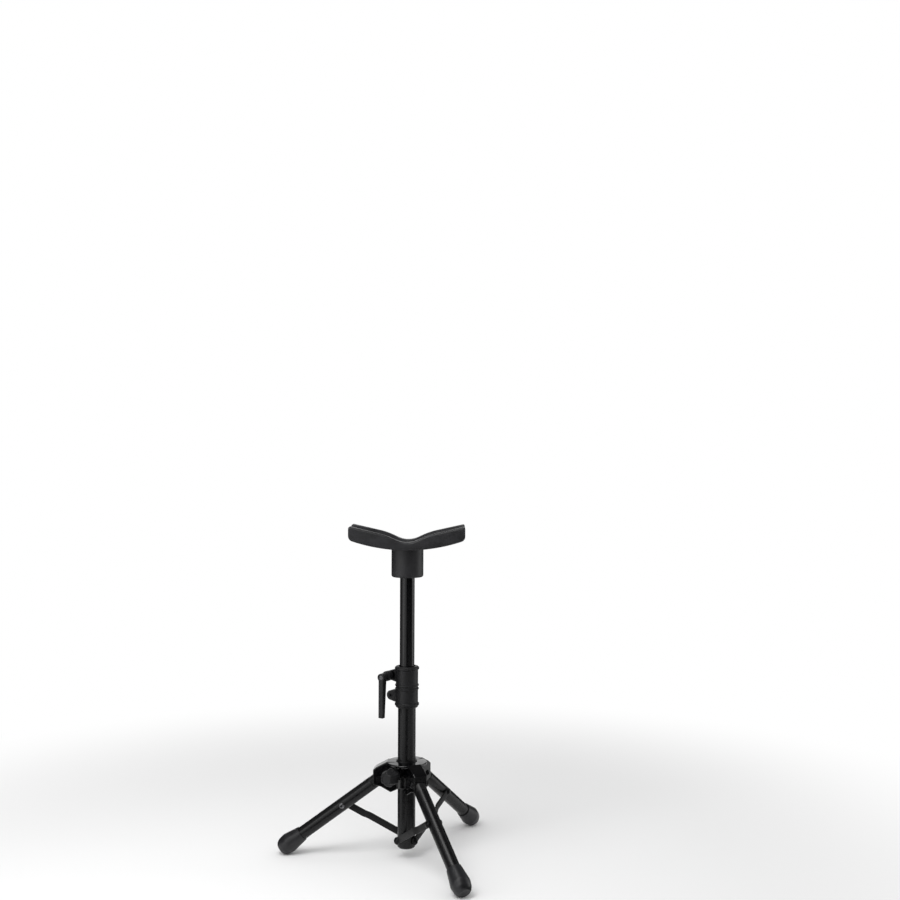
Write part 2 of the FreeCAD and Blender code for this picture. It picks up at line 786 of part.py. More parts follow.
def lever_spring():
    """A compression spring between the handle's shoulder and the screw's head."""
    room = screw_head_y - pocket_y - 2 * seat_gap - spring_wire_d
    r = (spring_d - spring_wire_d) / 2
    helix = Part.makeHelix(room / spring_coils, room, r)
    ring = Part.Wire([Part.Circle(point(r, 0, 0), ALONG_Y, spring_wire_d / 2).toShape()])
    coil = Part.Wire(helix.Edges).makePipeShell([ring], True, True)
    # the helix climbs along Z, so it is tipped onto the lever's axis
    coil = coil.rotated(ORIGIN, ALONG_X, -90)
    return coil.translated(point(lug_r, pocket_y + seat_gap + spring_wire_d / 2, upper_lug_z))


# Upper rod


def upper_rod():
    return disc(rod_r, rod_bottom, rod_top).cut(disc(rod_bore_r, rod_bottom - cut_over, rod_top + cut_over))


def rod_top_plug():
    body = disc(rod_bore_r - seat_gap, rod_top - rod_plug_h, rod_top - seat_gap)
    return body.cut(disc(saddle_bolt_d / 2 + seat_gap, rod_top - rod_plug_h - cut_over, rod_top + cut_over))


def rod_guide_bush():
    low = rod_bottom - side_gap - guide_floor
    body = disc(tube_bore_r - running_gap, low, low + guide_h)
    return body.cut(disc(rod_r + running_gap, low + guide_floor, low + guide_h + cut_over))


# Saddle


def saddle():
    half, deep = saddle_length / 2, saddle_depth / 2
    under = trough_z - saddle_under
    under_end = under + saddle_under_r - math.sqrt(saddle_under_r**2 - half**2)
    end_z = trough_z + saddle_end_h
    top = [
        (half, end_z), (shoulder_x, trough_z + shoulder_h), (vee_x, trough_z + vee_h),
        (-vee_x, trough_z + vee_h), (-shoulder_x, trough_z + shoulder_h), (-half, end_z), (-half, under_end),
    ]
    start = point(half, -deep, under_end)
    corners = [start] + [point(x, -deep, z) for x, z in top]
    lines = [Part.LineSegment(p, q).toShape() for p, q in zip(corners, corners[1:])]
    arc = Part.Arc(corners[-1], point(0, -deep, under), start).toShape()
    body = Part.Face(Part.Wire(lines + [arc])).extrude(point(0, saddle_depth, 0))
    soft = edges_where(body, lambda e: runs_along_y(e) and abs(e.Vertexes[0].X) < half - 1)
    body = body.makeFillet(vee_round, soft)
    ends = edges_where(
        body,
        lambda e: runs_along_y(e) and abs(e.Vertexes[0].X) > half - 1 and e.Vertexes[0].Z < end_z - 1,
    )
    body = body.makeFillet(saddle_end_round, ends)
    rims = edges_where(
        body,
        lambda e: not runs_along_y(e) and all(abs(abs(v.Y) - deep) < 0.01 for v in e.Vertexes),
    )
    body = body.makeFillet(lip_round, rims)
    neck = turned([
        (0, neck_bottom), (neck_d / 2 - neck_round, neck_bottom), (neck_d / 2, neck_bottom + neck_round),
        (neck_d / 2, under + saddle_under / 2), (0, under + saddle_under / 2),
    ])
    body = body.fuse(neck)
    bow = Part.makeTorus(bow_r - bow_tube_r, bow_tube_r, point(0, 0, trough_z + bow_r), ALONG_Y)
    body = body.cut(bow)
    body = body.cut(disc(rod_r + seat_gap, neck_bottom - cut_over, rod_top + seat_gap))
    body = body.cut(disc(saddle_bolt_d / 2 + side_gap, rod_top - cut_over, trough_z + vee_h))
    seat_z = head_seat()
    recess_z = seat_z - saddle_washer_h - seat_gap
    body = body.cut(disc(saddle_washer_d / 2 + side_gap, recess_z, trough_z + vee_h))
    return body.removeSplitter()


def head_seat():
    """The height of the saddle bolt's head underside."""
    return trough_z - head_cover - saddle_head_h


def saddle_bolt():
    seat_z = head_seat()
    body = disc(saddle_bolt_d / 2, seat_z - saddle_bolt_length, seat_z)
    head = disc(saddle_head_d / 2, seat_z, seat_z + saddle_head_h)
    socket = hexagon(saddle_bolt_d * 0.6, 0, saddle_head_h).rotated(ORIGIN, ALONG_X, 90)
    socket = socket.translated(point(0, 0, seat_z + saddle_head_h * 1.4))
    return body.fuse(head).cut(socket)


def saddle_washer():
    top = head_seat() - seat_gap / 2
    body = disc(saddle_washer_d / 2, top - saddle_washer_h + seat_gap / 2, top)
    return body.cut(disc(saddle_bolt_d / 2 + seat_gap, top - 2 * saddle_washer_h, top + cut_over))


# Write every piece

os.makedirs("parts", exist_ok=True)

save("lower_tube", lower_tube())
save("tube_end_plug", tube_end_plug())
save("brace_pins", Part.makeCompound([turn_to(brace_pin(), azimuth) for azimuth in leg_azimuths]))

for number, azimuth in enumerate(leg_azimuths, 1):
    save(f"leg_{number}_tube", turn_to(leg_tube(), azimuth))
    save(f"leg_{number}_plug", turn_to(leg_plug(), azimuth))
    save(f"leg_{number}_rivet", turn_to(leg_rivet(), azimuth))
    save(f"foot_{number}", turn_to(foot(), azimuth))
    save(f"brace_{number}", turn_to(brace(), azimuth))
    save(f"brace_{number}_rivet_head", turn_to(rivet_head(), azimuth))

save("hub", hub())
save("hub_bush", hub_bush())
save("leg_pivot_bolts", Part.makeCompound([turn_to(pivot_bolt(), azimuth) for azimuth in leg_azimuths]))
save("leg_pivot_nuts", Part.makeCompound([turn_to(pivot_nut(), azimuth) for azimuth in leg_azimuths]))
save("hub_knob", turn_to(hub_knob(), knob_azimuth))
save("knob_stud", turn_to(knob_stud(), knob_azimuth))
save("knob_pad", turn_to(knob_pad(), knob_azimuth))

collar_hole_r = collar_screw_d / 2 + seat_gap
clamp_hole_r = clamp_stud_d / 2 + running_gap
collar_nut = nut(collar_nut_w, -ear_out, collar_nut_y() - seat_gap, lower_lug_z, collar_hole_r)
clamp_nut = nut(clamp_nut_w, -ear_out, clamp_nut_y() - seat_gap, upper_lug_z, clamp_hole_r)
clamp_pieces = {
    "clamp_collar": clamp_collar(),
    "clamp_liner": clamp_liner(),
    "collar_screw": collar_screw(),
    "collar_nut": collar_nut,
    "clamp_nut": clamp_nut,
    "clamp_stud": clamp_stud(),
    "lever_washer": lever_washer(),
    "lever_insert": lever_insert(),
    "lever_handle": lever_handle(),
    "lever_screw": lever_screw(),
    "lever_spring": lever_spring(),
}
for name, shape in clamp_pieces.items():
    save(name, turn_to(shape, lug_azimuth))

save("upper_rod", upper_rod())
save("rod_top_plug", rod_top_plug())
save("rod_guide_bush", rod_guide_bush())
save("saddle", saddle())
save("saddle_bolt", saddle_bolt())
save("saddle_washer", saddle_washer())
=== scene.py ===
# %% [markdown]
# # A folding tuba stand
# The stand is black all over, so its looks come from how each surface was made: sprayed
# powder on steel tube, glossy and matt moulded nylon, rubber, and small blackened screws.
# The working pieces come ready from the frame. This script dresses them, and it models the
# moulded and formed pieces again with the soft edges that a mould or a press gives.

# %% Load the frame
import json
import math
import bmesh
import bpy
from mathutils import Matrix, Vector


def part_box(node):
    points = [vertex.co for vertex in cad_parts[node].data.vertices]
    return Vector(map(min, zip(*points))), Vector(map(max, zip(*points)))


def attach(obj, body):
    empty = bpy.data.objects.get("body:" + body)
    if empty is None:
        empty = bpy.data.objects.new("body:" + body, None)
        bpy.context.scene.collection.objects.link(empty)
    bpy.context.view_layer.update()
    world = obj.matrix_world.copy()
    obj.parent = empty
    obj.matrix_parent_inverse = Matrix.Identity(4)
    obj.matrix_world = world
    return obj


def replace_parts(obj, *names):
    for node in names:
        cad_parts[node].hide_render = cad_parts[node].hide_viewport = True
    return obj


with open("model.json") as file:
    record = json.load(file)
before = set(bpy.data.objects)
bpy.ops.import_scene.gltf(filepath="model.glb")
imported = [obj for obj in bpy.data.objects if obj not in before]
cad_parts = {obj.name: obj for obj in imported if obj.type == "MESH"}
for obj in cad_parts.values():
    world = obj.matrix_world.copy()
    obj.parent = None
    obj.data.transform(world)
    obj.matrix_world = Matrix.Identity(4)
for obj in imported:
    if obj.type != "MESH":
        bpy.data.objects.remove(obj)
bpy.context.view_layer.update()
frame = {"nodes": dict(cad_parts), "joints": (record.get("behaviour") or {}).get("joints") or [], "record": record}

MM = 0.001

# %% [markdown]
# ## Places from the frame
# The frame's joints say where each leg and brace turns. Every new piece is built in a simple
# pose, along +X or +Z, and one matrix then lays it on its leg. That keeps each shape easy to
# read, and the piece lands where the working one is.

# %% Read the joints
joints = {joint["name"]: joint for joint in frame["joints"]}
LEGS = (1, 2, 3)


def leg_azimuth(number):
    x, y, _ = joints[f"leg_{number}_fold"]["pos_m"]
    return math.atan2(y, x)


leg_pivot_r = math.hypot(*joints["leg_1_fold"]["pos_m"][:2])
leg_pivot_z = joints["leg_1_fold"]["pos_m"][2]
brace_pin_z = joints["brace_1_fold"]["pos_m"][2]
print("legs point to", [round(math.degrees(leg_azimuth(n)), 1) for n in LEGS])

# %% Matrices that lay a piece in place
LEG_SLOPE = math.radians(36.43)
BRACE_SLOPE = math.radians(27.94)


def about_post(azimuth):
    return Matrix.Rotation(azimuth, 4, "Z")


def on_leg(number):
    """From a piece along +X at the pivot to its leg's real slope and side."""
    lift = Matrix.Translation((leg_pivot_r, 0, leg_pivot_z))
    return about_post(leg_azimuth(number)) @ lift @ Matrix.Rotation(LEG_SLOPE, 4, "Y")


def on_brace(number):
    """From a bar along +X at its lower pin to its real slope and side."""
    lift = Matrix.Translation((0, 0, brace_pin_z))
    return about_post(leg_azimuth(number)) @ lift @ Matrix.Rotation(-BRACE_SLOPE, 4, "Y")


Z_TO_X = Matrix.Rotation(math.radians(90), 4, "Y")

# %% [markdown]
# ## Making pieces
# A bmesh is a mesh on the bench: operators cut and round it, and it becomes an object when it
# is done. Smooth shading with sharp edges kept by angle is how moulded and pressed pieces read:
# soft over a curve, crisp at a cut.

# %% From a bmesh to a piece
SHARP = math.radians(35)
SAME_POINT = 0.001 * MM


def object_from(bm, name):
    """Turns a bmesh into an object of the scene, and frees it."""
    mesh = bpy.data.meshes.new(name)
    bm.to_mesh(mesh)
    bm.free()
    made = bpy.data.objects.new(name, mesh)
    bpy.context.scene.collection.objects.link(made)
    return made


def piece_from(bm, name, body, material):
    """Turns a finished bmesh into a piece that rides on a body of the stand."""
    bmesh.ops.remove_doubles(bm, verts=bm.verts, dist=SAME_POINT)
    bmesh.ops.recalc_face_normals(bm, faces=bm.faces)
    piece = object_from(bm, name)
    mesh = piece.data
    mesh.materials.append(material)
    mesh.shade_smooth()
    mesh.set_sharp_from_angle(angle=SHARP)
    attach(piece, body)
    print(f"{name}: {len(mesh.polygons)} faces, on {body}")
    return piece


def round_edges(bm, edges, radius):
    bmesh.ops.bevel(
        bm, geom=edges, offset=radius, offset_type="OFFSET", segments=3,
        profile=0.5, affect="EDGES", material=-1, clamp_overlap=True,
    )


def turned(bm, profile, steps=96):
    """Spins an open chain of (radius, height) points round the Z axis."""
    points = [bm.verts.new((r * MM, 0, z * MM)) for r, z in profile]
    chain = [bm.edges.new(pair) for pair in zip(points, points[1:])]
    bmesh.ops.spin(
        bm, geom=points + chain, cent=(0, 0, 0), axis=(0, 0, 1),
        angle=math.tau, steps=steps, use_merge=True,
    )
    bmesh.ops.remove_doubles(bm, verts=bm.verts, dist=SAME_POINT)


def slab(bm, outline, y0, y1):
    """A flat plate from (x, z) points in the side view, from y0 to y1."""
    corners = [bm.verts.new((x * MM, y0 * MM, z * MM)) for x, z in outline]
    face = bm.faces.new(corners)
    grown = bmesh.ops.extrude_face_region(bm, geom=[face], use_keep_orig=True)
    moved = [v for v in grown["geom"] if isinstance(v, bmesh.types.BMVert)]
    bmesh.ops.translate(bm, verts=moved, vec=(0, (y1 - y0) * MM, 0))


def sharp_edges(bm, angle):
    return [e for e in bm.edges if e.is_manifold and e.calc_face_angle(0) > angle]


def rounded(points, radius, steps=4):
    """A chain of (x, z) points with each inner corner replaced by a small arc."""
    chain = [Vector(p) for p in points]
    smooth = [chain[0]]
    for before, corner, after in zip(chain, chain[1:], chain[2:]):
        back, ahead = before - corner, after - corner
        reach = min(radius, back.length / 2, ahead.length / 2)
        start, end = corner + back.normalized() * reach, corner + ahead.normalized() * reach
        for k in range(steps + 1):
            t = k / steps
            smooth.append((1 - t) ** 2 * start + 2 * t * (1 - t) * corner + t ** 2 * end)
    return [tuple(p) for p in smooth + [chain[-1]]]


# %% [markdown]
# ## Finishes
# Each finish is a small node tree on one Principled shader. Noise in Object coordinates gives
# the colour and the relief their real grain, so a pattern stays put when a piece moves.
# Colours are written as they look on screen and turned to linear light by one function.

# %% Node helpers
def linear(hex_colour):
    """An sRGB hex colour as linear light, with alpha."""
    parts = [int(hex_colour[k:k + 2], 16) / 255 for k in (1, 3, 5)]
    light = [c / 12.92 if c <= 0.04045 else ((c + 0.055) / 1.055) ** 2.4 for c in parts]
    return (*light, 1.0)


def add_node(tree, kind, settings=None, links=None):
    """Adds a node, sets its sockets or properties by name, and links its inputs."""
    node = tree.nodes.new(kind)
    for key, value in (settings or {}).items():
        if isinstance(key, int) or key in node.inputs:
            node.inputs[key].default_value = value
        else:
            setattr(node, key, value)
    for key, source in (links or {}).items():
        tree.links.new(source, node.inputs[key])
    return node


def new_finish(name):
    material = bpy.data.materials.new(name)
    material.use_nodes = True
    material.node_tree.nodes.clear()
    return material, material.node_tree


# %% A finish with two tones, a grain and an uneven sheen
# Noise gathers about its middle, so only this part of its range is spread over a finish.
TONE_RANGE = {"From Min": 0.35, "From Max": 0.65}
SHEEN_RANGE = {"From Min": 0.3, "From Max": 0.7}


def grained_finish(
    name, dark, light, tone_mm, grain_mm, grain_depth_mm, rough, shader=None, stretch=(1, 1, 1),
):
    """A surface whose colour drifts over tone_mm and whose relief has grains of grain_mm.

    The Mix node's two colours are its sockets 6 and 7, and its colour output is 2.
    """
    material, tree = new_finish(name)
    place = add_node(tree, "ShaderNodeTexCoord")
    along = add_node(
        tree, "ShaderNodeMapping", {"Scale": stretch}, {"Vector": place.outputs["Object"]},
    )
    drift = add_node(
        tree, "ShaderNodeTexNoise", {"Scale": 1 / (tone_mm * MM), "Detail": 5.0, "Roughness": 0.6},
        {"Vector": along.outputs["Vector"]},
    )
    tone = add_node(tree, "ShaderNodeMapRange", TONE_RANGE, {"Value": drift.outputs["Fac"]})
    colour = add_node(
        tree, "ShaderNodeMix", {"data_type": "RGBA", 6: linear(dark), 7: linear(light)},
        {0: tone.outputs["Result"]},
    )
    grain = add_node(
        tree, "ShaderNodeTexNoise", {"Scale": 1 / (grain_mm * MM), "Detail": 2.0},
        {"Vector": place.outputs["Object"]},
    )
    relief = add_node(
        tree, "ShaderNodeBump", {"Strength": 1.0, "Distance": grain_depth_mm * MM},
        {"Height": grain.outputs["Fac"]},
    )
    sheen = add_node(
        tree, "ShaderNodeMapRange", {**SHEEN_RANGE, "To Min": rough[0], "To Max": rough[1]},
        {"Value": drift.outputs["Fac"]},
    )
    surface = add_node(
        tree, "ShaderNodeBsdfPrincipled", shader or {},
        {
            "Base Color": colour.outputs[2], "Roughness": sheen.outputs["Result"],
            "Normal": relief.outputs["Normal"],
        },
    )
    add_node(tree, "ShaderNodeOutputMaterial", {}, {"Surface": surface.outputs["BSDF"]})
    print("finish:", name)
    return material


# %% [markdown]
# ### Powder coat on steel tube
# The tubes and bars are steel, sprayed with black polyester powder and baked. The powder melts
# into a satin skin with a faint orange peel, about a millimetre across, that softens the long
# highlights. The sliding rod is rubbed along its length by the clamp, so its grain is stretched
# along Z and it shines a little more.

# %% Powder coats
powder_coat = grained_finish(
    "satin_black_powder_coat", "#0B0B0C", "#101011", 9.0, 1.1, 0.012, (0.24, 0.32),
    {"IOR": 1.5, "Specular IOR Level": 0.3},
)
rubbed_coat = grained_finish(
    "rubbed_black_powder_coat", "#080809", "#0C0C0D", 3.0, 1.0, 0.008, (0.16, 0.24),
    {"IOR": 1.5, "Specular IOR Level": 0.35}, stretch=(1, 1, 0.05),
)
bar_coat = grained_finish(
    "black_powder_coat_on_flat_bar", "#131314", "#191919", 6.0, 0.9, 0.015, (0.42, 0.52),
    {"IOR": 1.5, "Specular IOR Level": 0.22},
)

# %% [markdown]
# ### Moulded nylon, rubber and the saddle's skin
# The hub comes from a polished mould, so it is glossy with a barely wavy surface. The clamp and
# knob come from a spark-eroded mould, which prints a fine even grain that turns the black to a
# matt dark grey. Rubber keeps a dull sheen of its own, and its colour clouds where it is
# handled.

# %% Moulded finishes
hub_nylon = grained_finish(
    "glossy_black_nylon", "#050506", "#080809", 14.0, 6.0, 0.004, (0.1, 0.17),
    {"IOR": 1.53, "Specular IOR Level": 0.5},
)
clamp_nylon = grained_finish(
    "matt_black_nylon", "#131314", "#19191B", 8.0, 0.45, 0.035, (0.42, 0.54),
    {"IOR": 1.53, "Specular IOR Level": 0.3},
)
bush_nylon = grained_finish(
    "plain_black_nylon", "#0C0C0D", "#121213", 6.0, 0.6, 0.02, (0.36, 0.48),
    {"IOR": 1.53, "Specular IOR Level": 0.4},
)
foot_rubber = grained_finish(
    "grey_black_rubber", "#141416", "#1B1B1E", 10.0, 0.6, 0.03, (0.34, 0.48),
    {"IOR": 1.52, "Specular IOR Level": 0.4, "Sheen Weight": 0.03, "Sheen Roughness": 0.5},
)
saddle_skin = grained_finish(
    "charcoal_moulded_saddle", "#19191B", "#212124", 16.0, 0.5, 0.045, (0.44, 0.56),
    {"IOR": 1.5, "Specular IOR Level": 0.4, "Sheen Weight": 0.03, "Sheen Roughness": 0.5},
)

# %% [markdown]
# ### Small steel
# Screws and pins are steel, blackened by a hot oxide bath, which leaves a thin dark skin over
# the metal. The nuts, the spring and the stud inside are plated with zinc, which is softly
# mottled, and the rolled ends of the rivets are burnished brighter by the punch.

# %% Metals
black_steel = grained_finish(
    "black_oxide_steel", "#1E1E1F", "#2B2B2C", 2.0, 0.4, 0.01, (0.28, 0.42), {"Metallic": 1.0},
)
zinc_steel = grained_finish(
    "zinc_on_steel", "#525254", "#666668", 2.5, 0.5, 0.01, (0.24, 0.4), {"Metallic": 1.0},
)
rolled_zinc = grained_finish(
    "rolled_zinc_rivet", "#707072", "#88888B", 1.5, 0.4, 0.01, (0.22, 0.34), {"Metallic": 1.0},
)

# %% Finishes onto the frame's pieces
finish_of = {
    "powder_coat": powder_coat,
    "hub_nylon": hub_nylon,
    "clamp_nylon": clamp_nylon,
    "bush_nylon": bush_nylon,
    "foot_rubber": foot_rubber,
    "saddle_moulding": saddle_skin,
    "black_steel": black_steel,
    "zinc_steel": zinc_steel,
}
slot_of = {part["node"]: part["material_slot"] for part in frame["record"]["subparts"]}
for name, node in frame["nodes"].items():
    node.data.materials.clear()
    node.data.materials.append(rubbed_coat if name == "upper_rod" else finish_of[slot_of[name]])
    node.data.polygons.foreach_set("material_index", [0] * len(node.data.polygons))
print(len(slot_of), "working pieces dressed")

# %% [markdown]
# ## Rubber feet
# A foot is a rubber boot, pushed over the leg's end and held by its own stretch. It is a turned
# shape, so one chain of points spins round the leg's axis. The chain runs up the bore, over a
# rounded mouth, out along a straight flare, and back in over a rounded end. The end is then
# cut flat by the floor, and the cut is hollowed a little, so that its rim grips.

# %% Foot sizes
FOOT_MOUTH = 164.8
FOOT_LENGTH = 45.2
MOUTH_R = 12.5
MOUTH_ROUND = 0.5
MOUTH_LIP = (MOUTH_R + 0.2, 1.5)
BALL_R = 16.6
BALL_AT = 27.5
# The rounded end behind the ball: (radius, distance from the mouth)
FOOT_END = ((14.9, 38.0), (12.4, 42.6), (9.8, FOOT_LENGTH), (0, FOOT_LENGTH))
END_SOFT = 1.2
BORE_R = 11.05
BORE_DEPTH = 30.05
BORE_LIP = 1.0
SOLE_RIM = 0.8
SOLE_STEP = 0.2
SOLE_HOLLOW = 0.5

# %% Build a foot
def build_foot(number):
    bm = bmesh.new()
    mouth = rounded([(BORE_R, BORE_LIP), (BORE_R, 0), (MOUTH_R, 0), MOUTH_LIP], MOUTH_ROUND)
    boot = rounded([MOUTH_LIP, (BALL_R, BALL_AT), *FOOT_END], END_SOFT)
    turned(bm, [(0, BORE_DEPTH), (BORE_R, BORE_DEPTH)] + mouth + boot[1:])
    bmesh.ops.transform(bm, verts=bm.verts, matrix=Matrix.Translation((0, 0, FOOT_MOUTH * MM)))
    bmesh.ops.transform(bm, verts=bm.verts, matrix=on_leg(number) @ Z_TO_X)
    whole = list(bm.verts) + list(bm.edges) + list(bm.faces)
    cut = bmesh.ops.bisect_plane(
        bm, geom=whole, plane_co=(0, 0, 0), plane_no=(0, 0, -1), clear_outer=True,
    )
    rim = [e for e in cut["geom_cut"] if isinstance(e, bmesh.types.BMEdge)]
    sole = bmesh.ops.contextual_create(bm, geom=rim)["faces"]
    bmesh.ops.recalc_face_normals(bm, faces=bm.faces)
    for thickness, depth in ((SOLE_RIM, 0.0), (SOLE_STEP, -SOLE_HOLLOW)):
        bmesh.ops.inset_region(bm, faces=sole, thickness=thickness * MM, depth=depth * MM)
    return piece_from(
        bm, f"rubber_foot_{number}", f"leg_{number}", foot_rubber,
    )


for number in LEGS:
    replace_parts(build_foot(number), f"foot_{number}")

# %% [markdown]
# ## Braces
# A brace is flat steel bar, pressed with a joggle so that it lies against the fat tube at one
# end and the thinner leg at the other. Its ends are punched round. The bar's path is drawn from
# above and given its width, its ends are rounded, and every edge gets the small radius that
# tumbling leaves before the coat goes on.

# %% Brace sizes
BAR_WIDTH = 11.3
BAR_THICK = 2.5
BAR_GAP = 0.4
BAR_LENGTH = 122.8
POST_TUBE_R = 15.0
LEG_TUBE_R = 11.0
JOGGLE = (72.0, 86.0)
JOGGLE_CUTS = 8
BAR_END_STEPS = 16
BAR_EDGE = 0.45
PRESSED_CORNER = math.radians(60)

# %% Build a brace
def bar_side(x):
    """How far the bar's inner face stands out at x, with a soft joggle between its two levels."""
    low, high = POST_TUBE_R + BAR_GAP, LEG_TUBE_R + BAR_GAP
    t = min(max((x - JOGGLE[0]) / (JOGGLE[1] - JOGGLE[0]), 0), 1)
    return low + (high - low) * t * t * (3 - 2 * t)


def build_brace(number):
    bm = bmesh.new()
    half = BAR_WIDTH / 2
    arc = [math.radians(90 + 180 * k / BAR_END_STEPS) for k in range(BAR_END_STEPS + 1)]
    near = [(half * math.cos(a), half * math.sin(a)) for a in arc]
    far = [(BAR_LENGTH - half * math.cos(a), -half * math.sin(a)) for a in arc]
    slab(bm, near + far, -BAR_THICK, 0.0)
    joggle_length = JOGGLE[1] - JOGGLE[0]
    for x in [JOGGLE[0] + joggle_length * k / JOGGLE_CUTS for k in range(JOGGLE_CUTS + 1)]:
        everything = list(bm.verts) + list(bm.edges) + list(bm.faces)
        bmesh.ops.bisect_plane(bm, geom=everything, plane_co=(x * MM, 0, 0), plane_no=(1, 0, 0))
    for vert in bm.verts:
        outer = BAR_THICK * MM if vert.co.y < -BAR_THICK / 2 * MM else 0.0
        vert.co.y = -bar_side(vert.co.x / MM) * MM - outer
    bmesh.ops.recalc_face_normals(bm, faces=bm.faces)
    round_edges(bm, sharp_edges(bm, PRESSED_CORNER), BAR_EDGE * MM)
    bmesh.ops.transform(bm, verts=bm.verts, matrix=on_brace(number))
    return piece_from(bm, f"flat_bar_brace_{number}", f"brace_{number}", bar_coat)


for number in LEGS:
    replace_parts(build_brace(number), f"brace_{number}")

# %% [markdown]
# ## Leg rivets
# A tubular rivet joins each leg to its bar. Its end is rolled over outwards by a punch, which
# leaves a bright ring round a dark hole. One chain of points, spun round the rivet's axis,
# gives the shank, the rolled ring and the hole.

# %% Rivet sizes
RIVET_AT = 78.9
RIVET_R = 2.95
RING_R = 4.5
RING_LOW = 10.1
RING_TOP = 12.2
RING_CREST = 0.1
RING_OUTER_DROP = 0.3
RING_INNER_DROP = 0.4
RING_SOFT = 0.6
RIVET_HOLE_R = 1.9
RIVET_HOLE_DEPTH = 4.0

# %% Build a rivet
def build_rivet(number):
    bm = bmesh.new()
    ring_middle = (RING_R + RIVET_HOLE_R) / 2
    hole_end = RING_TOP - RIVET_HOLE_DEPTH
    shank = [(0, -LEG_TUBE_R), (RIVET_R, -LEG_TUBE_R), (RIVET_R, RING_LOW)]
    ring = rounded([
        (RING_R, RING_LOW), (RING_R, RING_TOP - RING_OUTER_DROP),
        (ring_middle, RING_TOP + RING_CREST),
        (RIVET_HOLE_R, RING_TOP - RING_INNER_DROP), (RIVET_HOLE_R, hole_end),
    ], RING_SOFT)
    turned(bm, shank + ring + [(0, hole_end)], steps=48)
    bmesh.ops.transform(bm, verts=bm.verts, matrix=Matrix.Rotation(math.radians(-90), 4, "X"))
    bmesh.ops.translate(bm, verts=bm.verts, vec=(RIVET_AT * MM, 0, 0))
    bmesh.ops.transform(bm, verts=bm.verts, matrix=on_leg(number))
    return piece_from(bm, f"rolled_rivet_{number}", f"leg_{number}", rolled_zinc)


for number in LEGS:
    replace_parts(build_rivet(number), f"leg_{number}_rivet")

# %% [markdown]
# ## Hub knob
# The knob presses the hub onto the tube. A hand turns it, so its rim has six soft lobes. Its
# rim is one circle of points whose radius swells and dips, and the same circle is extruded
# along the knob's axis and scaled at each step: skirt, waist, lobes, and a rounded face with a
# shallow dish in its middle.

# %% Knob sizes
KNOB_AZIMUTH = math.atan2(*reversed(joints["knob_turn"]["pos_m"][:2]))
KNOB_Z = joints["knob_turn"]["pos_m"][2]
KNOB_LOBES = 6
KNOB_STEPS = 144
# Each ring: distance along the axis from the post, mean radius, and how deep the lobes go
KNOB_RINGS = (
    (30.5, 5.0, 0.0), (30.5, 8.4, 0.0), (31.1, 9.0, 0.0), (38.2, 9.0, 0.0), (39.2, 9.3, 0.0),
    (40.6, 11.2, 0.4), (41.2, 12.6, 1.0), (42.2, 13.6, 1.5), (43.6, 13.9, 1.6), (46.6, 13.9, 1.6),
    (49.0, 13.4, 1.5), (53.0, 12.3, 1.3), (57.4, 11.2, 1.0), (59.0, 10.5, 0.8), (59.8, 9.6, 0.5),
    (60.0, 8.4, 0.3), (59.9, 7.4, 0.0), (59.2, 6.9, 0.0), (59.2, 0.02, 0.0),
)

# %% Build the knob
def build_knob():
    bm = bmesh.new()
    first = bmesh.ops.create_circle(bm, segments=KNOB_STEPS, radius=1.0, cap_ends=True)
    ring, face = first["verts"], bm.faces[:]
    for step, (along, radius, lobe) in enumerate(KNOB_RINGS):
        if step:
            grown = bmesh.ops.extrude_face_region(bm, geom=face)["geom"]
            if step > 1:
                bmesh.ops.delete(bm, geom=face, context="FACES_ONLY")
            ring = [v for v in grown if isinstance(v, bmesh.types.BMVert)]
            face = [f for f in grown if isinstance(f, bmesh.types.BMFace)]
        for vert in ring:
            turn = math.atan2(vert.co.y, vert.co.x)
            r = (radius + lobe * math.cos(KNOB_LOBES * turn)) * MM
            vert.co = (r * math.cos(turn), r * math.sin(turn), along * MM)
    bmesh.ops.transform(bm, verts=bm.verts, matrix=Matrix.Translation((0, 0, KNOB_Z)) @ Z_TO_X)
    bmesh.ops.transform(bm, verts=bm.verts, matrix=about_post(KNOB_AZIMUTH))
    return piece_from(bm, "lobed_knob", "knob", clamp_nylon)


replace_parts(build_knob(), "hub_knob")

# %% [markdown]
# ## Saddle
# The saddle is one moulding: a yoke with a V along its front, a trough across it for the round
# bow, and a neck that sits on the rod. A moulding has no sharp corner, so its top and underside
# are two fine grids, bent to their heights, with every border rolled over by a small radius.
# One bridge of faces joins them.

# %% Saddle sizes
BOLT_DEPTH = 3.0
TROUGH_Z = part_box("saddle_bolt")[1].z / MM + BOLT_DEPTH
SADDLE_HALF = 97.0
SADDLE_DEEP = 45.0
UNDER_DROP = 7.2
UNDER_R = 289.0
END_H = 32.3
SHOULDER = (36.5, 18.7)
SHOULDER_SOFT = 3.0
VEE = (9.0, 6.0)
VEE_SOFT = 4.0
BOW_R = 182.0
BOW_TUBE_R = 48.0
TROUGH_SOFT = 2.4
LIP = 3.6
HEEL = 6.0
ROLL_SHARE = 0.12
GRID_ACROSS = 200
GRID_DEEP = 84
NECK_R = 27.0
NECK_BOTTOM = 472.4
NECK_FILLET = 4.0
NECK_OVERLAP = 1.2
NECK_INSIDE = 2.0
ROD_R = 12.55
ROD_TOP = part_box("upper_rod")[1].z / MM

# %% The saddle's heights
def soft_min(a, b, blend):
    """The lower of two heights, with a fillet of about blend where they cross."""
    h = min(max(0.5 + 0.5 * (b - a) / blend, 0.0), 1.0)
    return b * (1 - h) + a * h - blend * h * (1 - h)


def soft_max(a, b, blend):
    return -soft_min(-a, -b, blend)


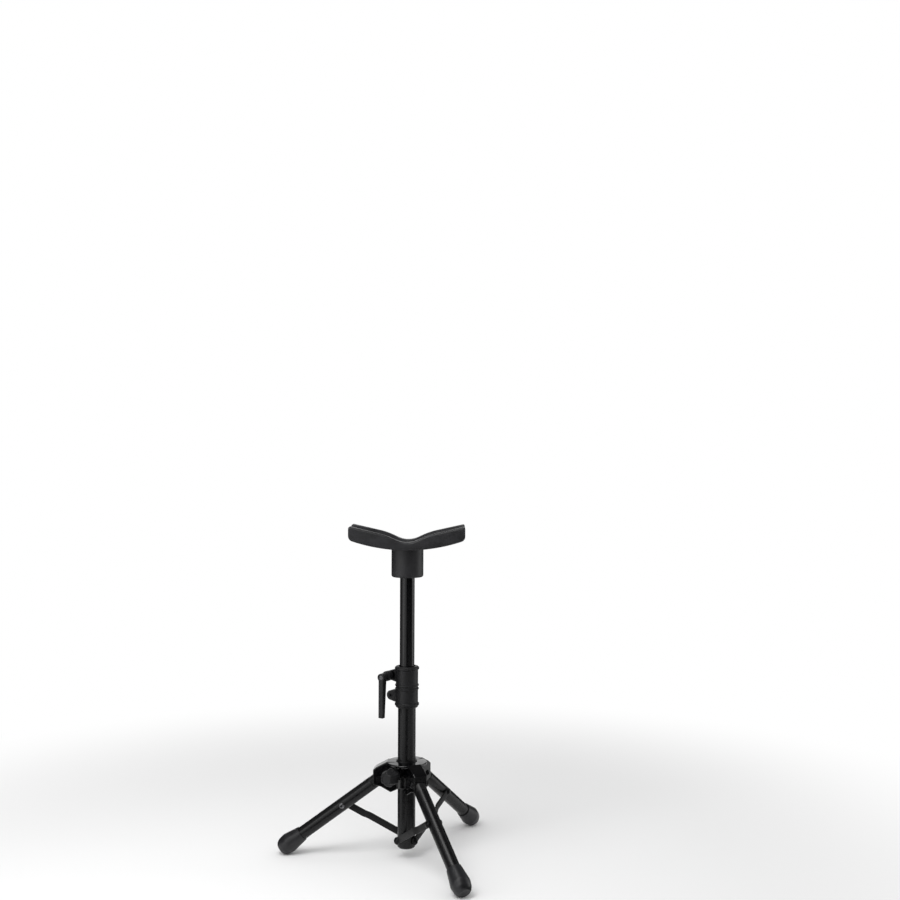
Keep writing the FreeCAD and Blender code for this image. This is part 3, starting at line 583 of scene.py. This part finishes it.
def vee_profile(x):
    """The top's front outline: a flat in the middle, a slope to the shoulder, a gentle slope out."""
    x = abs(x)
    inner = VEE[1] + (SHOULDER[1] - VEE[1]) * (x - VEE[0]) / (SHOULDER[0] - VEE[0])
    outer = SHOULDER[1] + (END_H - SHOULDER[1]) * (x - SHOULDER[0]) / (SADDLE_HALF - SHOULDER[0])
    return soft_max(VEE[1], soft_min(inner, outer, SHOULDER_SOFT), VEE_SOFT)


def bow_under(x, y):
    """The underside of the round bow that lies in the trough."""
    tube = BOW_R - BOW_TUBE_R + math.sqrt(max(BOW_TUBE_R ** 2 - y * y, 0.0))
    return BOW_R - math.sqrt(max(tube * tube - x * x, 0.0))


def saddle_top(x, y):
    return TROUGH_Z + soft_min(vee_profile(x), bow_under(x, y), TROUGH_SOFT)


def saddle_under(x, y):
    return TROUGH_Z - UNDER_DROP + UNDER_R - math.sqrt(UNDER_R ** 2 - x * x)


# %% A grid with rolled borders
def rolled(t, half, radius):
    """From t in -1 to 1, the place across the grid and how far the border has rolled over."""
    flat = 1 - ROLL_SHARE
    if abs(t) <= flat:
        return t / flat * (half - radius), 0.0
    turn = (abs(t) - flat) / ROLL_SHARE * math.pi / 2
    place = half - radius + radius * math.sin(turn)
    return math.copysign(place, t), radius * (1 - math.cos(turn))


def saddle_grid(bm, height, direction, radius):
    """One face of the saddle: a flat grid whose points are lifted to their heights."""
    made = bmesh.ops.create_grid(
        bm, x_segments=GRID_ACROSS, y_segments=GRID_DEEP, size=1.0,
    )["verts"]
    for vert in made:
        x, roll_x = rolled(vert.co.x, SADDLE_HALF, radius[0])
        y, roll_y = rolled(vert.co.y, SADDLE_DEEP, radius[1])
        z = height(x, y) + direction * (roll_x + roll_y)
        vert.co = (x * MM, y * MM, z * MM)
    return made


def build_saddle():
    bm = bmesh.new()
    saddle_grid(bm, saddle_top, -1, (LIP, LIP))
    under = saddle_grid(bm, saddle_under, 1, (HEEL, LIP))
    bmesh.ops.reverse_faces(bm, faces=list({f for v in under for f in v.link_faces}))
    border = [e for e in bm.edges if e.is_boundary]
    bmesh.ops.bridge_loops(bm, edges=border)
    return bm


# %% The neck and the cuts
def neck_shape():
    bm = bmesh.new()
    meets = TROUGH_Z - UNDER_DROP + NECK_OVERLAP
    flare_r = NECK_R + NECK_FILLET
    chain = rounded(
        [(0, NECK_BOTTOM), (NECK_R, NECK_BOTTOM), (NECK_R, meets), (flare_r, meets)], NECK_FILLET,
    )
    chain += [(flare_r, meets + NECK_INSIDE), (0, meets + NECK_INSIDE)]
    turned(bm, chain)
    return bm


def cylinder_cutter(radius, low, high):
    bm = bmesh.new()
    turned(bm, [(0, low), (radius, low), (radius, high), (0, high)], steps=64)
    return bm


def whole_shape(bm, name):
    bmesh.ops.recalc_face_normals(bm, faces=bm.faces)
    return object_from(bm, name)


def combine(bm, others):
    """Joins or cuts whole shapes one after another, and gives back one bmesh."""
    base = whole_shape(bm, "combined_shape")
    tools = []
    for operation, other in others:
        tool = whole_shape(other, "tool_shape")
        step = base.modifiers.new(operation, "BOOLEAN")
        step.operation = operation
        step.solver = "EXACT"
        step.object = tool
        tools.append(tool)
    finished = base.evaluated_get(bpy.context.evaluated_depsgraph_get())
    result = bpy.data.meshes.new_from_object(finished)
    joined = bmesh.new()
    joined.from_mesh(result)
    for used in [base] + tools:
        bpy.data.objects.remove(used)
    return joined


# %% Assemble the saddle
BOLT_RECESS_R = 8.7
BOLT_HOLE_R = 4.2
FIT_GAP = 0.05
BELOW_NECK = NECK_BOTTOM - 5
BELOW_ROD_TOP = ROD_TOP - 1
ABOVE_TROUGH = TROUGH_Z + 20
seat_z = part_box("saddle_washer")[0].z / MM
saddle_bm = combine(build_saddle(), [
    ("UNION", neck_shape()),
    ("DIFFERENCE", cylinder_cutter(ROD_R, BELOW_NECK, ROD_TOP + FIT_GAP)),
    ("DIFFERENCE", cylinder_cutter(BOLT_HOLE_R, BELOW_ROD_TOP, ABOVE_TROUGH)),
    ("DIFFERENCE", cylinder_cutter(BOLT_RECESS_R, seat_z - FIT_GAP, ABOVE_TROUGH)),
])
saddle = piece_from(saddle_bm, "moulded_saddle", "rod", saddle_skin)
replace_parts(saddle, "saddle")

# %% [markdown]
# ## Floor, light and camera
# The stand was photographed in a white studio. The floor is a pale sheet that keeps the soft
# shadow, and the white surround is seen by the camera and in reflections. Away from the stand
# both show plain white through the light path, so no lamp is turned up until they clip.

# %% Floor
def backdrop_rays(tree):
    """1 where a camera, glossy or transmission ray looks, and 0 for the light that falls on things."""
    rays = add_node(tree, "ShaderNodeLightPath")
    camera_or_glossy = add_node(
        tree, "ShaderNodeMath", {"operation": "ADD", "use_clamp": True},
        {0: rays.outputs["Is Camera Ray"], 1: rays.outputs["Is Glossy Ray"]},
    )
    with_glass = add_node(
        tree, "ShaderNodeMath", {"operation": "ADD", "use_clamp": True},
        {0: camera_or_glossy.outputs[0], 1: rays.outputs["Is Transmission Ray"]},
    )
    return with_glass.outputs[0]


WHITE = (1, 1, 1, 1)
FLOOR_R = 14.0
# The floor's own paint and shadows give way to plain white between these distances, in metres.
FADE = {"From Min": 0.5, "From Max": 1.3, "interpolation_type": "SMOOTHSTEP"}

floor_bm = bmesh.new()
bmesh.ops.create_circle(floor_bm, cap_ends=True, segments=96, radius=FLOOR_R)
floor = object_from(floor_bm, "studio_floor")
floor_paint, tree = new_finish("pale_floor_paint")
paint = add_node(
    tree, "ShaderNodeBsdfPrincipled",
    {"Base Color": linear("#F4F4F4"), "Roughness": 0.9, "Specular IOR Level": 0.1},
)
place = add_node(tree, "ShaderNodeTexCoord")
away = add_node(
    tree, "ShaderNodeVectorMath", {"operation": "LENGTH"}, {0: place.outputs["Object"]},
)
fade = add_node(tree, "ShaderNodeMapRange", FADE, {"Value": away.outputs["Value"]})
white_share = add_node(
    tree, "ShaderNodeMath", {"operation": "MULTIPLY"}, {0: fade.outputs[0], 1: backdrop_rays(tree)},
)
glow = add_node(tree, "ShaderNodeEmission", {"Color": WHITE, "Strength": 1.0})
surface = add_node(
    tree, "ShaderNodeMixShader", {},
    {0: white_share.outputs[0], 1: paint.outputs["BSDF"], 2: glow.outputs[0]},
)
add_node(tree, "ShaderNodeOutputMaterial", {}, {"Surface": surface.outputs[0]})
floor.data.materials.append(floor_paint)
print("floor radius in metres:", FLOOR_R)

# %% White surround
# Things are lit by the fill. Eyes and reflections see plain white, but for reflections the
# ceiling goes dark between these heights, as a studio's does above its lamps.
FILL = 0.64
CEILING = {"From Min": 0.4, "From Max": 0.7, "interpolation_type": "SMOOTHSTEP"}
CEILING_LIGHT = 0.06

world = bpy.data.worlds.new("white_surround")
world.use_nodes = True
world.node_tree.nodes.clear()
tree = world.node_tree
fill, white, room = [
    add_node(tree, "ShaderNodeBackground", {"Color": WHITE, "Strength": strength})
    for strength in (FILL, 1.0, CEILING_LIGHT)
]
backed = add_node(
    tree, "ShaderNodeMixShader", {}, {0: backdrop_rays(tree), 1: fill.outputs[0], 2: white.outputs[0]},
)
where = add_node(tree, "ShaderNodeTexCoord")
side = add_node(tree, "ShaderNodeSeparateXYZ", {}, {0: where.outputs["Generated"]})
ceiling = add_node(tree, "ShaderNodeMapRange", CEILING, {"Value": side.outputs["Z"]})
reflected = add_node(tree, "ShaderNodeLightPath")
dim_share = add_node(
    tree, "ShaderNodeMath", {"operation": "MULTIPLY"},
    {0: ceiling.outputs[0], 1: reflected.outputs["Is Glossy Ray"]},
)
both = add_node(
    tree, "ShaderNodeMixShader", {},
    {0: dim_share.outputs[0], 1: backed.outputs[0], 2: room.outputs[0]},
)
add_node(tree, "ShaderNodeOutputWorld", {}, {"Surface": both.outputs[0]})
bpy.context.scene.world = world
print("surround fill:", FILL)

# %% [markdown]
# ### Lamps
# A black tube shows little but its reflections, so each lamp is placed for the highlight that
# it gives. Two tall ones stand at the sides, for long lines down the post and the rod. A wide
# one hangs above, in front and to the left, for the bright line down each leg.

# %% Soft lamps
def soft_lamp(name, place, aim, size, power):
    data = bpy.data.lights.new(name, "AREA")
    data.shape = "RECTANGLE"
    data.size, data.size_y = size
    data.energy = power
    lamp = bpy.data.objects.new(name, data)
    lamp.location = place
    lamp.rotation_mode = "QUATERNION"
    lamp.rotation_quaternion = (Vector(aim) - Vector(place)).to_track_quat("-Z", "Y")
    bpy.context.scene.collection.objects.link(lamp)
    print(f"{name}: {power} W")


MIDDLE = (0.0, 0.0, 0.3)
soft_lamp("left_softbox", (-1.15, -0.85, 0.62), MIDDLE, (0.35, 1.2), 2.6)
soft_lamp("right_softbox", (1.4, 0.3, 0.62), MIDDLE, (0.2, 1.2), 1.6)
soft_lamp("top_softbox", (-0.42, -0.62, 1.38), (0.0, -0.05, 0.1), (0.6, 1.1), 11.0)

# %% [markdown]
# ### Black flags
# Studio photographers lay and hang black cloths, called flags, where a glossy thing would
# mirror too much white. The camera stands higher than the saddle, so the upright tubes mirror
# the floor: a cloth near the stand darkens the post, and one farther out darkens the rod.
# Only reflections see these cloths. They cast no shadow and take no light from the stand.

# %% Cloth and its places
# Metres from the post to where a cloth hangs, how high it reaches, and how far it lies over
# the floor.
FLAG_R = 3.0
FLAG_HIGH = 2.0
FLAG_LIFT = 0.002
flag_cloth, tree = new_finish("black_studio_cloth")
velvet = add_node(
    tree, "ShaderNodeBsdfPrincipled",
    {"Base Color": linear("#181818"), "Roughness": 1.0, "Specular IOR Level": 0.0},
)
add_node(tree, "ShaderNodeOutputMaterial", {}, {"Surface": velvet.outputs["BSDF"]})


def on_floor(near, far):
    return [(near, FLAG_LIFT), (far, FLAG_LIFT)]


def hung_up(low):
    return [(FLAG_R, low), (FLAG_R, FLAG_HIGH)]


def black_flag(name, line, start, end):
    """A cloth whose section is a line of (radius, height) in metres, between two azimuths."""
    bm = bmesh.new()
    points = [bm.verts.new((r, 0, z)) for r, z in line]
    chain = [bm.edges.new(pair) for pair in zip(points, points[1:])]
    to_start = Matrix.Rotation(math.radians(start), 3, "Z")
    bmesh.ops.rotate(bm, verts=points, cent=(0, 0, 0), matrix=to_start)
    bmesh.ops.spin(
        bm, geom=points + chain, cent=(0, 0, 0), axis=(0, 0, 1),
        angle=math.radians(end - start), steps=24, use_merge=False,
    )
    flag = object_from(bm, name)
    flag.data.materials.append(flag_cloth)
    flag.visible_camera = False
    flag.visible_diffuse = False
    flag.visible_shadow = False
    print(f"{name}: {start} to {end} degrees")


black_flag("front_flag", on_floor(0.3, FLAG_R) + hung_up(FLAG_HIGH / 2), -102, -80)
black_flag("near_front_flag", on_floor(0.3, 1.2), -109, -73)
black_flag("near_left_flag", on_floor(0.2, 0.65), -150, -109)
black_flag("near_right_flag", on_floor(0.2, 0.65), -58, -10)
black_flag("near_back_flag", on_floor(0.12, 0.6), -10, 22)
black_flag("front_right_flag", on_floor(1.4, FLAG_R) + hung_up(FLAG_HIGH / 2), -80, -8)
black_flag("back_right_flag", on_floor(0.61, FLAG_R) + hung_up(FLAG_HIGH / 2), 37, 70)
black_flag("back_left_flag", on_floor(0.2, FLAG_R) + hung_up(FLAG_HIGH / 2), 114, 174)
black_flag("left_wall_flag", hung_up(0.3), 174, 212)

# %% [markdown]
# ### Camera
# The lens was level, 0.69 m up and about 2 m from the post, a little to the right of it, with a
# very small roll.

# %% Place the camera
LENS_MM = 47.8
SENSOR_MM = 36.0
CAMERA_PLACE = (0.0711, -2.0196, 0.687)
CAMERA_ROLL = -0.0041

camera_data = bpy.data.cameras.new("camera")
camera_data.lens = LENS_MM
camera_data.sensor_width = SENSOR_MM
camera = bpy.data.objects.new("camera", camera_data)
camera.location = CAMERA_PLACE
camera.rotation_euler = (math.radians(90), CAMERA_ROLL, 0)
bpy.context.scene.collection.objects.link(camera)
bpy.context.scene.camera = camera
bpy.context.scene.view_settings.view_transform = "Standard"
print("camera at", CAMERA_PLACE, "with a lens of", LENS_MM, "mm")
